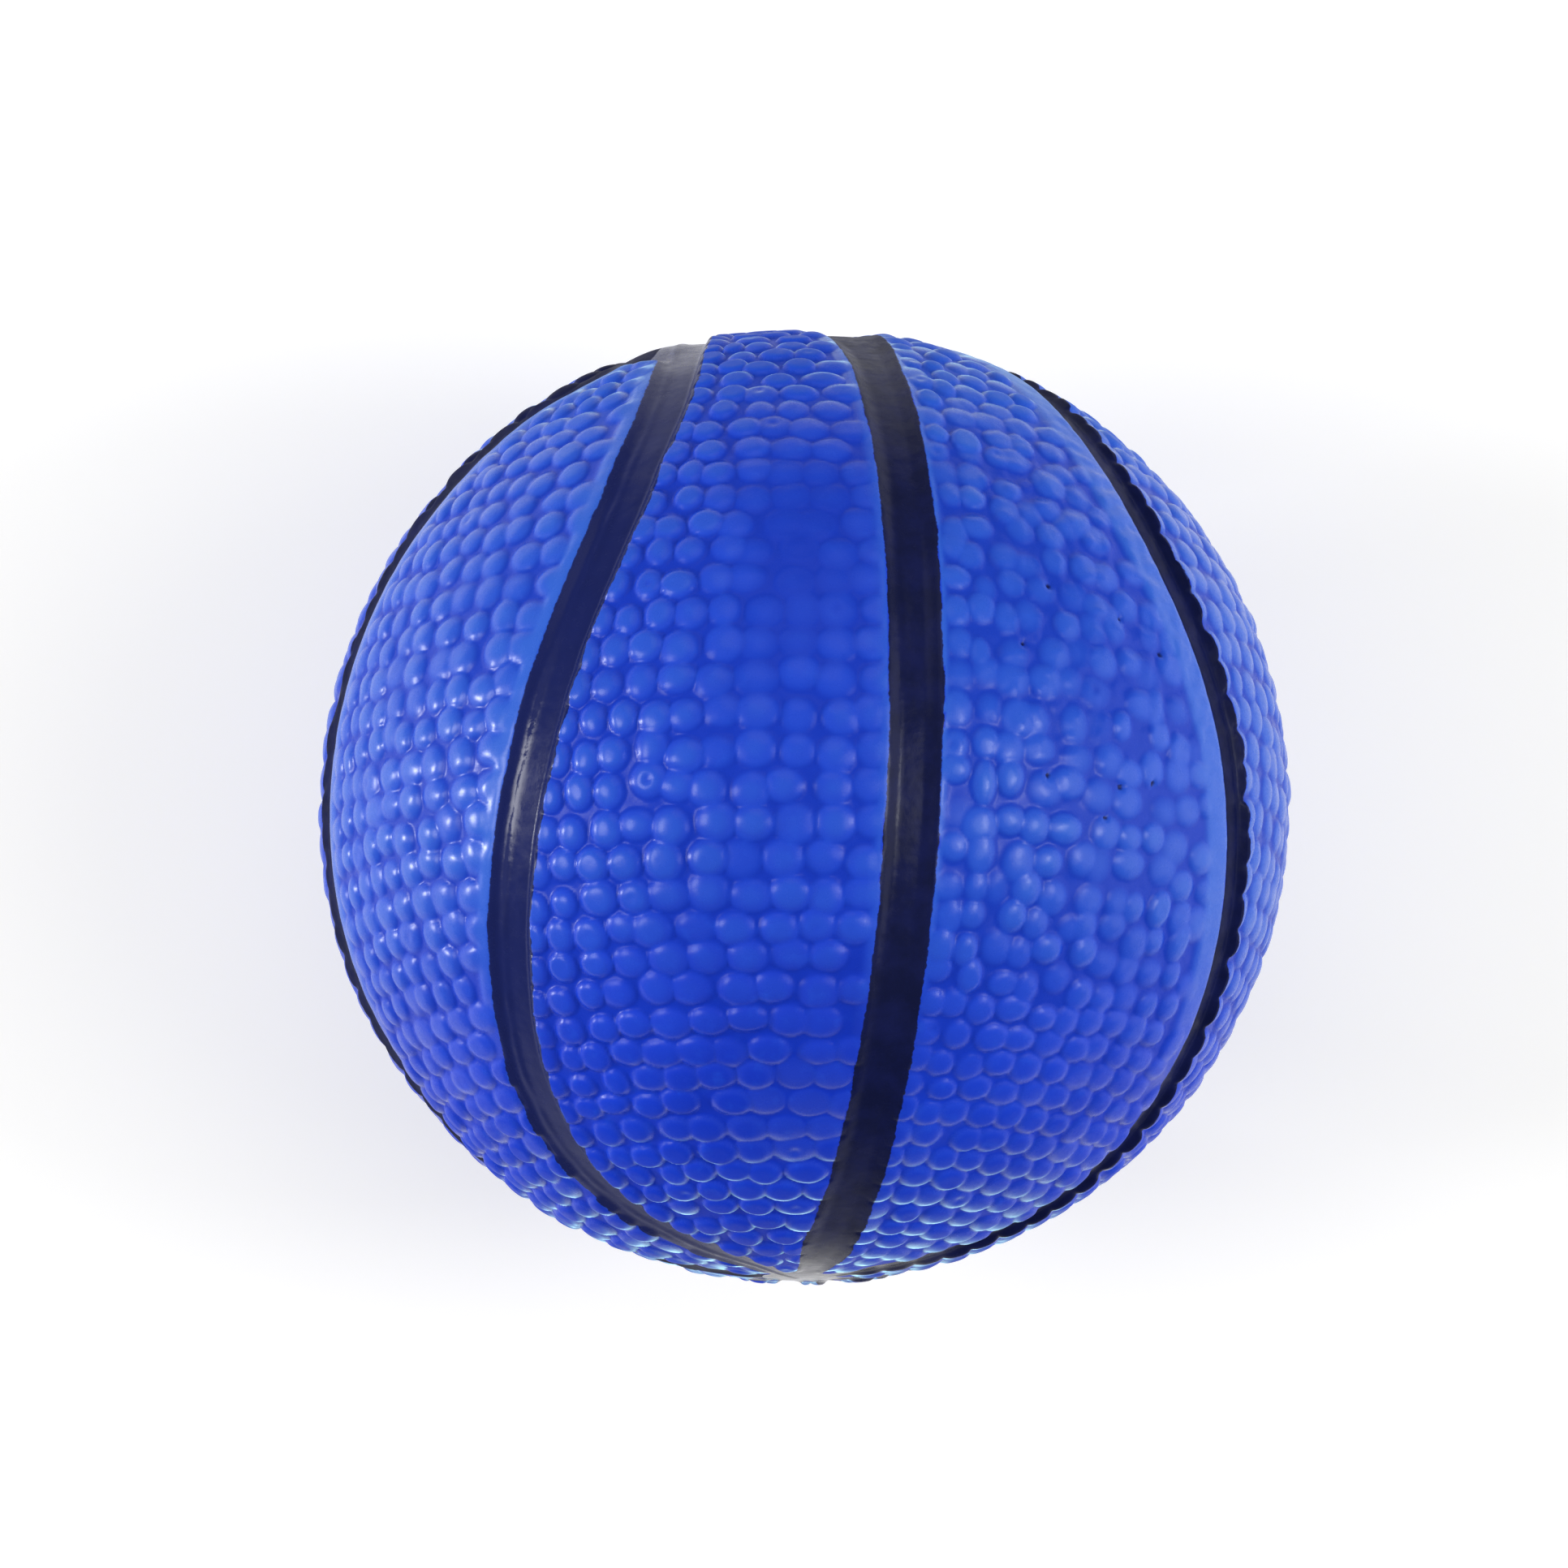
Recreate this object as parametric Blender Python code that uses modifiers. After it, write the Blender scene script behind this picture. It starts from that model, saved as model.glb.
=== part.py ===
"""Small foam bouncy ball in the style of a court ball.

Eight raised, pebbled skin panels sit on a solid foam core.  Sunken black seam
lines part the panels, run from pole to pole and merge in a small junction at
each pole.  Metres; the pole axis is Y, the ball's centre is the origin.
"""

import bisect
import math

import bmesh
import bpy
from mathutils import Matrix

# ---------------------------------------------------------------- dimensions
EQUATOR_RADIUS = 0.0315      # over the panels, square to the pole axis
FLATTENING = 0.988           # pole radius over equator radius
PANEL_COUNT = 8              # panels, and as many seam lines between them
SEAM_WIDTH = 0.0034          # groove from panel edge to panel edge
SEAM_DEPTH = 0.0006          # black line below the panels' outer surface
SKIN = 0.0022                # panel thickness
GAP = 0.0003                 # clearance between neighbouring pieces
PANEL_TIP_RADIUS = 0.0052    # blunt end of a panel, from the pole axis
JUNCTION_RADIUS = 0.0045     # black junction round each pole
FIRST_SEAM = math.radians(11.93)  # seam line 1 from +Z towards +X

# The moulded seams wander off the meridians: where each one lies, in degrees
# round the pole axis from the first, at these latitudes.
SEAM_LATITUDES = (-90, -82, -75, -68, -60, -45, -30, 0, 30, 45, 60, 66, 72, 80, 90)
SEAM_PATHS = (
    (0.0,) * 15,
    (42, 47, 61, 67, 68, 62, 55.4, 45, 37, 38.2, 45.3, 49.1, 52.4, 54, 54),
    (88, 93, 108, 113, 114, 106, 99, 90, 82, 79, 82, 85, 90, 96, 98),
    (134, 137, 147, 150, 150, 145, 141, 136, 131, 129, 130, 132, 135, 138, 139),
    (180.0,) * 15,
    (225, 223, 213, 211, 211, 217, 221, 226, 231, 235, 240, 239, 233, 221, 220),
    (270, 267, 253, 247, 248, 259.5, 265, 272.3, 281.3, 288.9, 301.5, 294, 283, 262, 260),
    (320, 317, 305, 299.4, 297.8, 301.5, 307.6, 317.8, 325.2, 324.8, 317.3, 311.3, 306, 303, 303),
)

PANEL_COLUMNS, PANEL_ROWS = 6, 36
SEAM_COLUMNS, SEAM_ROWS = 2, 36
CORE_SEGMENTS, CORE_RINGS = 32, 16
JUNCTION_STEPS, JUNCTION_RINGS = 16, 3

# ------------------------------------------------------------------- colours
FOAM_WHITE = (0.74, 0.73, 0.68)
SKIN_BLUE = (0.012, 0.045, 0.64)
SEAM_BLACK = (0.012, 0.013, 0.022)


def spheroid_point(latitude, longitude, depth=0.0):
    """A point this far below the ball's outer surface."""
    ring = (EQUATOR_RADIUS - depth) * math.cos(latitude)
    return (
        ring * math.sin(longitude),
        (EQUATOR_RADIUS * FLATTENING - depth) * math.sin(latitude),
        ring * math.cos(longitude),
    )


def path_slope(path, i):
    """Slope of a seam's path at one of its nodes."""
    before, after = max(i - 1, 0), min(i + 1, len(path) - 1)
    if before == i or after == i:
        rise = path[after] - path[before]
        return rise / (SEAM_LATITUDES[after] - SEAM_LATITUDES[before])
    low = SEAM_LATITUDES[i] - SEAM_LATITUDES[before]
    high = SEAM_LATITUDES[after] - SEAM_LATITUDES[i]
    down = (path[i] - path[before]) / low
    up = (path[after] - path[i]) / high
    return (down * high + up * low) / (low + high)


def seam_longitude(number, latitude):
    """Middle of seam line number (0 is the first) at a latitude."""
    lap, seam = divmod(number, PANEL_COUNT)
    path = SEAM_PATHS[seam]
    degrees = math.degrees(latitude)
    i = bisect.bisect_right(SEAM_LATITUDES, degrees) - 1
    i = min(max(i, 0), len(path) - 2)
    wide = SEAM_LATITUDES[i + 1] - SEAM_LATITUDES[i]
    t = (degrees - SEAM_LATITUDES[i]) / wide
    turn = (
        (1.0 + 2.0 * t) * (1.0 - t) ** 2 * path[i]
        + t * (1.0 - t) ** 2 * wide * path_slope(path, i)
        + t * t * (3.0 - 2.0 * t) * path[i + 1]
        - t * t * (1.0 - t) * wide * path_slope(path, i + 1)
    )
    return FIRST_SEAM + 2.0 * math.pi * lap + math.radians(turn)


def band_angle(half_width, latitude):
    """Longitude that a strip of this half width takes up at a latitude."""
    return math.asin(half_width / (EQUATOR_RADIUS * math.cos(latitude)))


def finish_material(name, colour, roughness):
    material = bpy.data.materials.new(name)
    material.use_nodes = True
    shader = material.node_tree.nodes["Principled BSDF"]
    shader.inputs["Base Color"].default_value = (*colour, 1.0)
    shader.inputs["Roughness"].default_value = roughness
    shader.inputs["Metallic"].default_value = 0.0
    return material


def add_part(name, mesh, colour, roughness):
    part = bpy.data.objects.new(name, mesh)
    mesh.materials.append(finish_material(name + "_finish", colour, roughness))
    ball.objects.link(part)
    part.parent = centre
    return part


def smooth(mesh):
    mesh.shade_smooth()
    mesh.set_sharp_from_angle(angle=math.radians(40.0))


def curved_strip(name, columns, rows, left, right, last_latitude, depth):
    """A flat grid bent onto the ball, from left to right at each latitude."""
    shape = bmesh.new()
    bmesh.ops.create_grid(shape, x_segments=columns, y_segments=rows, size=1.0)
    for vertex in shape.verts:
        latitude = vertex.co.y * last_latitude
        share = 0.5 + 0.5 * vertex.co.x
        longitude = left(latitude) + share * (right(latitude) - left(latitude))
        vertex.co = spheroid_point(latitude, longitude, depth)
    bmesh.ops.recalc_face_normals(shape, faces=shape.faces)
    outward = sum(face.normal.dot(face.calc_center_median()) for face in shape.faces)
    if outward < 0.0:
        bmesh.ops.reverse_faces(shape, faces=shape.faces)
    mesh = bpy.data.meshes.new(name)
    shape.to_mesh(mesh)
    shape.free()
    return mesh


def thicken(part, thickness):
    """Grow the open surface inwards into a closed shell."""
    shell = part.modifiers.new("shell", "SOLIDIFY")
    shell.thickness = thickness
    shell.offset = -1.0
    shell.use_even_offset = False
    shell.use_rim = True


# ------------------------------------------------------------- clear the file
for stale in list(bpy.data.objects):
    bpy.data.objects.remove(stale, do_unlink=True)

ball = bpy.data.collections.new("bouncy_ball")
bpy.context.scene.collection.children.link(ball)
centre = bpy.data.objects.new("ball_centre", None)
ball.objects.link(centre)

# ------------------------------------------------------------------ foam core
core_depth = SKIN + GAP
shape = bmesh.new()
bmesh.ops.create_uvsphere(
    shape, u_segments=CORE_SEGMENTS, v_segments=CORE_RINGS, radius=1.0
)
core_size = Matrix.Diagonal(
    (
        EQUATOR_RADIUS - core_depth,
        EQUATOR_RADIUS - core_depth,
        EQUATOR_RADIUS * FLATTENING - core_depth,
        1.0,
    )
)
bmesh.ops.transform(
    shape, matrix=Matrix.Rotation(math.radians(-90.0), 4, "X") @ core_size, verts=shape.verts
)
core_mesh = bpy.data.meshes.new("foam_core")
shape.to_mesh(core_mesh)
shape.free()
smooth(core_mesh)
add_part("foam_core", core_mesh, FOAM_WHITE, 0.85)

# --------------------------------------------------- panels and seam lines
panel_end = math.acos(PANEL_TIP_RADIUS / EQUATOR_RADIUS)
seam_end = math.acos((JUNCTION_RADIUS + GAP) / (EQUATOR_RADIUS - SEAM_DEPTH))


def beside(number, offset):
    """The line at this distance from the middle of a seam line."""
    return lambda latitude: seam_longitude(number, latitude) + band_angle(offset, latitude)


for number in range(PANEL_COUNT):
    half = SEAM_WIDTH / 2.0 - GAP
    name = f"seam_line_{number + 1}"
    mesh = curved_strip(
        name,
        SEAM_COLUMNS,
        SEAM_ROWS,
        beside(number, -half),
        beside(number, half),
        seam_end,
        SEAM_DEPTH,
    )
    smooth(mesh)
    thicken(add_part(name, mesh, SEAM_BLACK, 0.45), SKIN - SEAM_DEPTH)

    name = f"skin_panel_{number + 1}"
    mesh = curved_strip(
        name,
        PANEL_COLUMNS,
        PANEL_ROWS,
        beside(number, SEAM_WIDTH / 2.0),
        beside(number + 1, -SEAM_WIDTH / 2.0),
        panel_end,
        0.0,
    )
    smooth(mesh)
    thicken(add_part(name, mesh, SKIN_BLUE, 0.42), SKIN)

# ------------------------------------------------------------- pole junctions


def dome_height(radius, depth):
    """Height over the equator, this far from the pole axis and below the surface."""
    share = radius / (EQUATOR_RADIUS - depth)
    return (EQUATOR_RADIUS * FLATTENING - depth) * math.sqrt(1.0 - share * share)


radii = [JUNCTION_RADIUS * step / JUNCTION_RINGS for step in range(JUNCTION_RINGS + 1)]
profile = [(r, 0.0, dome_height(r, SEAM_DEPTH)) for r in radii]
profile += [(r, 0.0, dome_height(r, SKIN)) for r in reversed(radii)]
profile_edges = [(i, i + 1) for i in range(len(profile) - 1)]
for name, turn in (("seam_junction_north", -90.0), ("seam_junction_south", 90.0)):
    mesh = bpy.data.meshes.new(name)
    mesh.from_pydata(profile, profile_edges, [])
    junction = add_part(name, mesh, SEAM_BLACK, 0.45)
    junction.rotation_euler = (math.radians(turn), 0.0, 0.0)
    turned = junction.modifiers.new("turned", "SCREW")
    turned.axis = "Z"
    turned.angle = 2.0 * math.pi
    turned.steps = JUNCTION_STEPS
    turned.render_steps = JUNCTION_STEPS
    turned.use_merge_vertices = True
    turned.merge_threshold = 0.00001
    turned.use_smooth_shade = True
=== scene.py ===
"""Bouncy ball: a small foam court-style ball with pebbled blue skin panels,
sunken black seam lines and a pole junction at either end.

Lengths inside the surface maths are millimetres; meshes are made in metres.
The pole axis is Y, the camera of the photograph looks down -Z.
"""

import math

import bpy
import numpy as np
from mathutils import Matrix, Vector


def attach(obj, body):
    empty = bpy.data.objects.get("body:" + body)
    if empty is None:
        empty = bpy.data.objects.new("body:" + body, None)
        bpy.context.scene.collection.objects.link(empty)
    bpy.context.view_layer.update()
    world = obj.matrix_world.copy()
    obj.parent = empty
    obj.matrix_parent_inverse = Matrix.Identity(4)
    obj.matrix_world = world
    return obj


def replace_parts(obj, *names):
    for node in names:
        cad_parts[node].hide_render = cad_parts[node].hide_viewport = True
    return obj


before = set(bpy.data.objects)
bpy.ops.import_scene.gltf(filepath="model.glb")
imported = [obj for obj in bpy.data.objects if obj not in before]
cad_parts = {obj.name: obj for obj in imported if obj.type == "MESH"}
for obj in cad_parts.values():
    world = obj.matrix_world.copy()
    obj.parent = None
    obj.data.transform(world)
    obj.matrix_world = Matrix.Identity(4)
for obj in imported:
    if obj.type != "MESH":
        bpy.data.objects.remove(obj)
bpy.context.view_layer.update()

# ---------------------------------------------------------------- dimensions
RADIUS = 31.5                 # over the pebbles, square to the pole axis
FLATTENING = 0.988            # pole radius over equator radius
COUNT = 8                     # panels, and as many seam lines
FIRST_SEAM = math.radians(11.93)

# The moulded seams wander off the meridians: where each one lies, in degrees
# round the pole axis from the first, at these latitudes.
SEAM_LATITUDES = (-90, -82, -75, -68, -60, -45, -30, 0, 30, 45, 60, 66, 72, 80, 90)
SEAM_PATHS = (
    (0.0,) * 15,
    (42, 47, 61, 67, 68, 62, 55.4, 45, 37, 38.2, 45.3, 49.1, 52.4, 54, 54),
    (88, 93, 108, 113, 114, 106, 99, 90, 82, 79, 82, 85, 90, 96, 98),
    (134, 137, 147, 150, 150, 145, 141, 136, 131, 129, 130, 132, 135, 138, 139),
    (180.0,) * 15,
    (225, 223, 213, 211, 211, 217, 221, 226, 231, 235, 240, 239, 233, 221, 220),
    (270, 267, 253, 247, 248, 259.5, 265.0, 272.3, 281.3, 288.9, 301.5, 294, 283, 262, 260),
    (320, 317, 305, 299.4, 297.8, 301.5, 307.6, 317.8, 325.2, 324.8, 317.3, 311.3, 306, 303, 303),
)

EDGE = 1.35                   # half the width of the loose seam strip
PAINT = 1.66                  # half the width of the usual black line
LINES = (1.66, 1.52, 1.60, 1.60, 1.60, 1.60, 1.66, 1.76)
FLOOR = 0.60                  # groove floor below the pebble crowns
SHELF = 0.20                  # what lies deeper than this
SHALLOW = 0.30                # is flattened to this share near the poles
BASE = 0.37                   # skin between the pebbles below the crowns
MARGIN_LEVEL = 0.15           # smooth margin beside a seam below the crowns
CAP = 2.4                     # radius of the loose junction at each pole
BACK = 1.9                    # inner face of skin and seam pieces

ROWS = 630                    # mesh rows from pole cap to pole cap
COLUMNS = 130                 # mesh columns across one panel
STRIP_COLUMNS = 20

LAST = math.acos(CAP / RADIUS)

# Per panel: smooth margins on its left and right (none: pebbles run into the
# seam), mean relief, pitch, how loosely the pebbles lie and how flat they are.
PANELS = [
    (0.05, 2.10, 0.85, 0.92, 2.0, 1.05),
    (0.00, 0.90, 0.95, 1.00, 1.2, 1.10),
    (0.00, 1.20, 1.00, 1.00, 1.2, 1.20),
    (0.00, 0.80, 0.95, 1.00, 1.3, 1.10),
    (0.00, 1.00, 1.00, 1.00, 1.2, 1.20),
    (0.00, 0.00, 0.95, 1.00, 1.2, 1.10),
    (1.00, 0.80, 1.00, 0.96, 1.0, 1.00),
    (0.00, 0.25, 1.00, 1.00, 1.0, 1.12),
]
# Worn patches: panel, place across it, latitude, half width, half height, share.
WEAR = [
    (0, 0.50, 10.0, 0.42, 30.0, 0.45),
    (1, 0.55, -12.0, 0.30, 26.0, 0.35),
    (2, 0.60, 20.0, 0.30, 24.0, 0.50),
    (3, 0.45, -8.0, 0.28, 30.0, 0.45),
    (4, 0.50, 14.0, 0.32, 22.0, 0.50),
    (5, 0.62, -18.0, 0.30, 26.0, 0.40),
    (6, 0.60, 24.0, 0.26, 22.0, 0.20),
    (7, 0.66, 19.0, 0.30, 24.0, 0.80),
    (7, 0.80, -46.0, 0.12, 7.0, 0.65),
]
# Pebbles with a crater in the crown, and gentle swellings of the whole ball:
# latitude, longitude (degrees), then height and reach (degrees).
CRATERS = [(7, 14.0, 341.7), (7, -8.5, 342.5)]
SWELLS = [
    (-20.8, 271.8, 0.40, 16.0),
    (51.5, 294.5, 0.18, 15.0),
    (-55.4, 263.5, 0.18, 15.0),
    (73.5, 350.0, -0.36, 12.0),
    (62.0, 318.0, 0.52, 5.5),
    (-63.0, 285.0, 0.22, 9.0),
]
RELIEF = 0.38                 # height of a full pebble


# ------------------------------------------------------------------- helpers
def step(low, high, x):
    t = np.clip((x - low) / (high - low), 0.0, 1.0)
    return t * t * (3.0 - 2.0 * t)


def soft_max(a, b, k):
    return 0.5 * (a + b + np.sqrt((a - b) ** 2 + k * k))


# The rows lie closer together on the steep sides, where the scales are.
FINE = np.linspace(-LAST, LAST, 4001)
DENSE = np.cumsum(1.0 + 0.45 * step(0.35, 0.75, np.abs(FINE)))
ROW_LATITUDES = np.interp(np.linspace(DENSE[0], DENSE[-1], ROWS + 1), DENSE, FINE)

NODES = np.radians(SEAM_LATITUDES)
PATHS = np.radians(np.array(SEAM_PATHS, float))
SLOPES = np.gradient(PATHS, NODES, axis=1)


def seam_longitude(number, latitude):
    """Middle of seam line number (0 is the first) at a latitude."""
    lap, seam = divmod(number, COUNT)
    i = np.clip(np.searchsorted(NODES, latitude) - 1, 0, len(NODES) - 2)
    wide = NODES[i + 1] - NODES[i]
    t = (latitude - NODES[i]) / wide
    path, slope = PATHS[seam], SLOPES[seam]
    turn = (
        (1.0 + 2.0 * t) * (1.0 - t) ** 2 * path[i]
        + t * (1.0 - t) ** 2 * wide * slope[i]
        + t * t * (3.0 - 2.0 * t) * path[i + 1]
        - t * t * (1.0 - t) * wide * slope[i + 1]
    )
    return FIRST_SEAM + 2.0 * math.pi * lap + turn


def flare(number, latitude):
    """How much wider than usual half a black line is."""
    extra = LINES[number % COUNT] - PAINT + 0.0 * latitude
    if number % COUNT == 0:
        extra = extra + 0.50 * step(math.radians(48.0), math.radians(76.0), latitude)
        extra = extra + 0.40 * step(math.radians(66.0), math.radians(78.0), latitude)
    if number % COUNT == 7:
        extra = extra - 0.25 * step(math.radians(42.0), math.radians(62.0), -latitude)
    if number % COUNT == 1:
        extra = extra - 0.18 * step(math.radians(25.0), math.radians(50.0), -latitude)
    return extra


def shine(number, latitude):
    """How glossy the paint of a seam line is."""
    seam = number % COUNT
    level = (0.32, 0.09, 0.20, 0.20, 0.20, 0.20, 0.02, 0.42)[seam] + 0.0 * latitude
    if seam == 6:
        return level
    if seam == 0:
        level = level * (1.0 - 0.75 * step(0.85, 1.15, latitude))
        level = level * (1.0 - 0.45 * step(0.50, 0.80, -latitude))
    if seam == 7:
        level = level * (1.0 - 0.10 * step(0.20, 0.50, -latitude))
        level = level + 0.30 * step(0.84, 0.98, latitude)
    return level + (0.85 - level) * step(1.20, 1.44, -latitude)


def taper(latitude):
    """The lines narrow on their last few millimetres to a pole."""
    return 0.55 + 0.45 * step(3.0, 9.0, RADIUS * np.cos(latitude))


def on_ball(latitude, longitude, depth):
    ring = (RADIUS - depth) * np.cos(latitude)
    return np.stack(
        (
            ring * np.sin(longitude),
            (RADIUS * FLATTENING - depth) * np.sin(latitude),
            ring * np.cos(longitude),
        ),
        axis=-1,
    )


class Waves:
    """Smooth seeded noise of about unit size, as a sum of plane waves."""

    def __init__(self, seed, length, terms=14, size=3):
        rng = np.random.RandomState(seed)
        way = rng.normal(size=(terms, size))
        way /= np.linalg.norm(way, axis=1)[:, None]
        self.way = way * (2.0 * math.pi / (length * rng.uniform(0.7, 1.5, terms)))[:, None]
        self.phase = rng.uniform(0.0, 2.0 * math.pi, terms)

    def __call__(self, points):
        flat = points.reshape(-1, self.way.shape[1])
        value = np.sin(flat @ self.way.T + self.phase).sum(axis=1)
        return (value * math.sqrt(2.0 / len(self.phase))).reshape(points.shape[:-1])


lumps = Waves(5, 17.0)
grain = Waves(6, 1.7, 20)
edge_wobble = Waves(7, 3.1, 16)
crumbs = Waves(9, 1.25, 26)


# -------------------------------------------------------------------- pebbles
def smooth_share(latitude):
    """The smooth margins beside the seams fade out on the lower side."""
    return step(0.80, 0.45, -latitude)


def lay_pebbles(number):
    """Pebble centres, sizes and heights of one panel, row by row."""
    rng = np.random.RandomState(100 + number)
    left_margin, right_margin, height, pitch, loose, flat = PANELS[number]
    found = []
    along = -RADIUS * math.radians(83.0) + rng.uniform(0.2, 1.2)
    row = 0
    while along < RADIUS * math.radians(83.0):
        latitude = along / RADIUS
        steep = step(12.0, 42.0, abs(math.degrees(latitude)))
        rise = (2.15 - 0.20 * steep) * (0.5 + 0.5 * pitch)
        left = seam_longitude(number, latitude)
        across = (seam_longitude(number + 1, latitude) - left) * RADIUS * math.cos(latitude)
        narrow = float(taper(latitude))
        bare = float(smooth_share(latitude))
        first = narrow * (LINES[number] + 0.15 + bare * (left_margin + 0.75 if left_margin else 0.0))
        final = across - narrow * (
            LINES[(number + 1) % COUNT] + 0.15 + bare * (right_margin + 0.75 if right_margin else 0.0)
        )
        span = final - first
        if span > -0.9:
            gaps = [pitch * (1.85 + 0.50 * float(step(0.0, 4.0, j))) for j in range(16)]
            count = 0
            while count < 15 and sum(gaps[: count + 1]) < span + 0.5 * gaps[count]:
                count += 1
            total = sum(gaps[:count])
            scale = span / total if count else 1.0
            brick = (row % 2) * (0.35 + 0.65 * steep) + rng.normal(0.0, 0.10)
            for j in range(count + 1):
                gap = scale * gaps[min(j, 15)]
                shift = 0.5 * brick * gap * step(0.0, 2.2, j)
                place = first + scale * sum(gaps[:j]) + shift
                if place > final + 0.28 * gap and count:
                    continue
                calm = 1.0 + (loose - 1.0) * float(step(-45.0, -22.0, math.degrees(latitude)))
                place += rng.normal(0.0, 0.04 + 0.05 * step(0.0, 3.0, j)) * calm * gap
                up = along + rng.normal(0.0, 0.07) * calm * rise
                lat = up / RADIUS
                lon = seam_longitude(number, lat) + place / (RADIUS * math.cos(lat))
                u = place / across
                low = 0.0
                for panel, worn_u, worn_lat, worn_w, worn_h, share in WEAR:
                    if panel == number:
                        far = ((u - worn_u) / worn_w) ** 2
                        far += ((math.degrees(lat) - worn_lat) / worn_h) ** 2
                        low = max(low, share * math.exp(-far))
                tall = RELIEF * height * (1.0 - low) * (1.0 + rng.normal(0.0, 0.13) * calm)
                wide = 0.575 * gap * (1.0 + rng.normal(0.0, 0.06) * calm)
                long = 0.575 * rise * (1.0 + rng.normal(0.0, 0.06) * calm)
                if number == 7:
                    crisp = 1.0 - float(step(2.0, 5.0, j))
                    tall *= 1.0 + 0.18 * crisp
                    wide *= 1.0 - 0.07 * crisp
                    long *= 1.0 - 0.07 * crisp
                dent = rng.uniform(0.05, 0.12) if rng.rand() < 0.05 else 0.0
                found.append(
                    (lat, lon, wide, long, max(tall, 0.04), dent, *rng.normal(0.0, 0.18, 2), low)
                )
        along += rise * (1.0 + rng.normal(0.0, 0.03))
        row += 1
    found = np.array(found)
    for panel, lat, lon in CRATERS:
        if panel == number:
            gap = np.hypot(found[:, 0] - math.radians(lat), found[:, 1] - math.radians(lon))
            found[gap.argmin(), :2] = math.radians(lat), math.radians(lon)
            found[gap.argmin(), 5:8] = 0.16, 0.0, 0.0
    return found


# Tiny open bubbles in the skin: latitude, longitude (degrees), radius.
PINHOLES = [
    (15.7, 28.9, 0.21),
    (8.1, 24.7, 0.17),
    (9.6, 44.3, 0.19),
    (13.0, 38.5, 0.16),
    (-6.7, 27.7, 0.19),
    (-6.8, 37.6, 0.20),
    (-5.7, 42.4, 0.19),
    (-10.5, 35.9, 0.17),
]


# How far each panel is painted paler: most on the panels lying to the left and right in the view, standing in for the
# side light and haze there, so this is painted light.
TONES = (0.86, 1.15, 0.65, 0.45, 0.35, 0.65, 0.80, 0.38)
# How glossy the panels' crowns are.
GLOSS = (0.68, 0.92, 0.75, 0.70, 0.75, 0.80, 0.86, 0.70)
# How thin the paint of each line is, so that it looks bluer.
THIN = (0.02, 0.02, 0.10, 0.10, 0.10, 0.10, 0.0, 0.72)


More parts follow.
